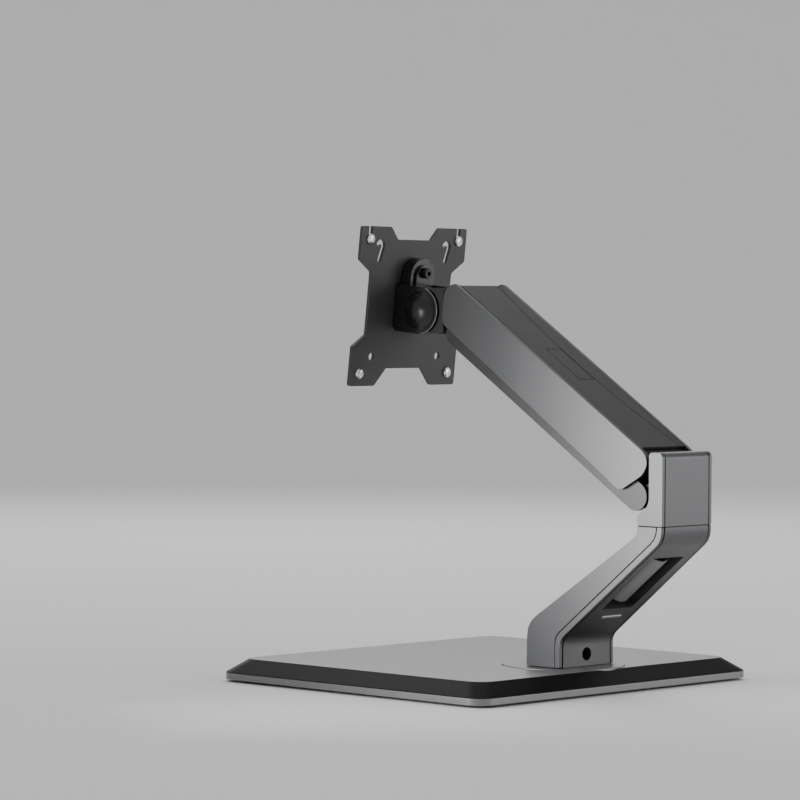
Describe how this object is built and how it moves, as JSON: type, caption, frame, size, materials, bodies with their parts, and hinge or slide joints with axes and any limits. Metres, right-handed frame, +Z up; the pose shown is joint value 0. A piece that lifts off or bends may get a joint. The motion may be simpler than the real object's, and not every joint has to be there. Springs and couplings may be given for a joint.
{
  "type": "monitor arm",
  "caption": "Free-standing monitor arm: weighted base, bent swivelling riser, parallel spring arm and tilting, rotating screen plate.",
  "frame": {"origin": "centre of the anti-slip pad's underside, where the base rests on the desk", "axes": "+Z up, -Y towards the user and the screen, +X to the right of a user who sits in front of the screen"},
  "size_m": [0.2974, 0.3189, 0.3338],
  "materials": {
    "space_grey": "satin, fine texture",
    "charcoal": "matte",
    "black_steel": "satin",
    "gloss_black": "gloss",
    "cast_grey": "as-cast, satin",
    "steel": "ground",
    "zinc": "zinc plated",
    "rubber": "matte",
    "acetal": "smooth",
    "spring_steel": "oiled"
  },
  "bodies": {
    "base": {"antislip_pad": "rubber", "base_slab": "space_grey", "ballast_plate": "black_steel", "base_cover": "space_grey"},
    "column": {"turntable_ring": "acetal", "turntable_disc": "space_grey", "foot_bolt_1": "zinc", "foot_bolt_2": "zinc", "turntable_spindle": "steel", "spindle_nut": "zinc", "riser_core": "cast_grey", "riser_side_left": "space_grey", "riser_side_right": "space_grey", "riser_inset_left": "space_grey", "riser_inset_right": "space_grey", "cable_guide": "cast_grey", "swivel_lock_screw": "black_steel", "pivot_block": "cast_grey", "housing_bolt_1": "zinc", "housing_bolt_2": "zinc", "housing_rear_shell": "space_grey", "housing_cheek_left": "space_grey", "housing_cheek_right": "space_grey", "spring_anchor_pin": "steel"},
    "upper_arm": {"arm_panel_left": "space_grey", "arm_panel_right": "space_grey", "arm_frame": "black_steel", "cable_cover": "charcoal", "top_rail_cover": "charcoal", "upper_rear_pin": "steel", "upper_front_pin": "steel", "spring_seat": "cast_grey", "coil_spring": "spring_steel"},
    "latch": {"cover_latch": "charcoal"},
    "spring_rod": {"pull_rod": "steel", "spring_cup": "zinc", "tension_nut": "zinc", "drawbar": "zinc"},
    "lower_arm": {"lower_link": "space_grey", "lower_rear_pin": "steel"},
    "knuckle": {"front_knuckle": "cast_grey", "lower_front_pin": "steel", "swivel_pin": "steel"},
    "neck": {"swivel_neck": "cast_grey"},
    "tilt_head": {"tilt_body": "gloss_black", "rotation_lock_screw": "black_steel", "tilt_bolt": "steel", "tilt_cap_left": "gloss_black", "tilt_cap_right": "gloss_black"},
    "plate": {"vesa_plate": "charcoal", "monitor_screw_1": "zinc", "monitor_screw_2": "zinc", "monitor_screw_3": "zinc", "monitor_screw_4": "zinc", "rotation_washer": "acetal", "rotation_spindle": "steel"}
  },
  "joints": [
    {"name": "base_swivel", "type": "hinge", "parent": "base", "child": "column", "pos_m": [0, 0.075, 0.0181], "axis": [0, 0, 1], "range_deg": [-90, 90]},
    {"name": "arm_lift", "type": "hinge", "parent": "column", "child": "upper_arm", "pos_m": [0, 0.1605, 0.1645], "axis": [-1, 0, 0], "range_deg": [-53, 12]},
    {"name": "link_lift", "type": "hinge", "parent": "column", "child": "lower_arm", "pos_m": [0, 0.1615, 0.1425], "axis": [-1, 0, 0], "range_deg": [-53, 12]},
    {"name": "knuckle_level", "type": "hinge", "parent": "upper_arm", "child": "knuckle", "pos_m": [0, -0.01143, 0.27743], "axis": [-1, 0, 0], "range_deg": [-12, 53]},
    {"name": "spring_travel", "type": "slide", "parent": "upper_arm", "child": "spring_rod", "axis": [0, 0.8358, -0.549], "range_m": [-0.0016, 0.0052], "deforming": ["coil_spring"]},
    {"name": "latch_press", "type": "slide", "parent": "upper_arm", "child": "latch", "axis": [0, -0.549, -0.8358], "range_m": [0, 0.0012], "stiffness_N_per_m": 1500, "springref_m": -0.0004},
    {"name": "head_swivel", "type": "hinge", "parent": "knuckle", "child": "neck", "pos_m": [0, -0.028, 0.2716], "axis": [0, 0, 1], "range_deg": [-37.6, 32.4]},
    {"name": "head_tilt", "type": "hinge", "parent": "neck", "child": "tilt_head", "pos_m": [0.00113, -0.05297, 0.2716], "axis": [-0.999, -0.0454, 0], "range_deg": [-25, 28]},
    {"name": "head_rotate", "type": "hinge", "parent": "tilt_head", "child": "plate", "pos_m": [0.00113, -0.05297, 0.2716], "axis": [0.0451, -0.993, 0.1089], "range_deg": [-90, 90]}
  ],
  "couplings": [
    {"joint": "link_lift", "follows": "arm_lift", "ratio": 1},
    {"joint": "knuckle_level", "follows": "arm_lift", "ratio": -1},
    {"joint": "spring_travel", "follows": "arm_lift", "m_per_rad": -0.00545}
  ]
}
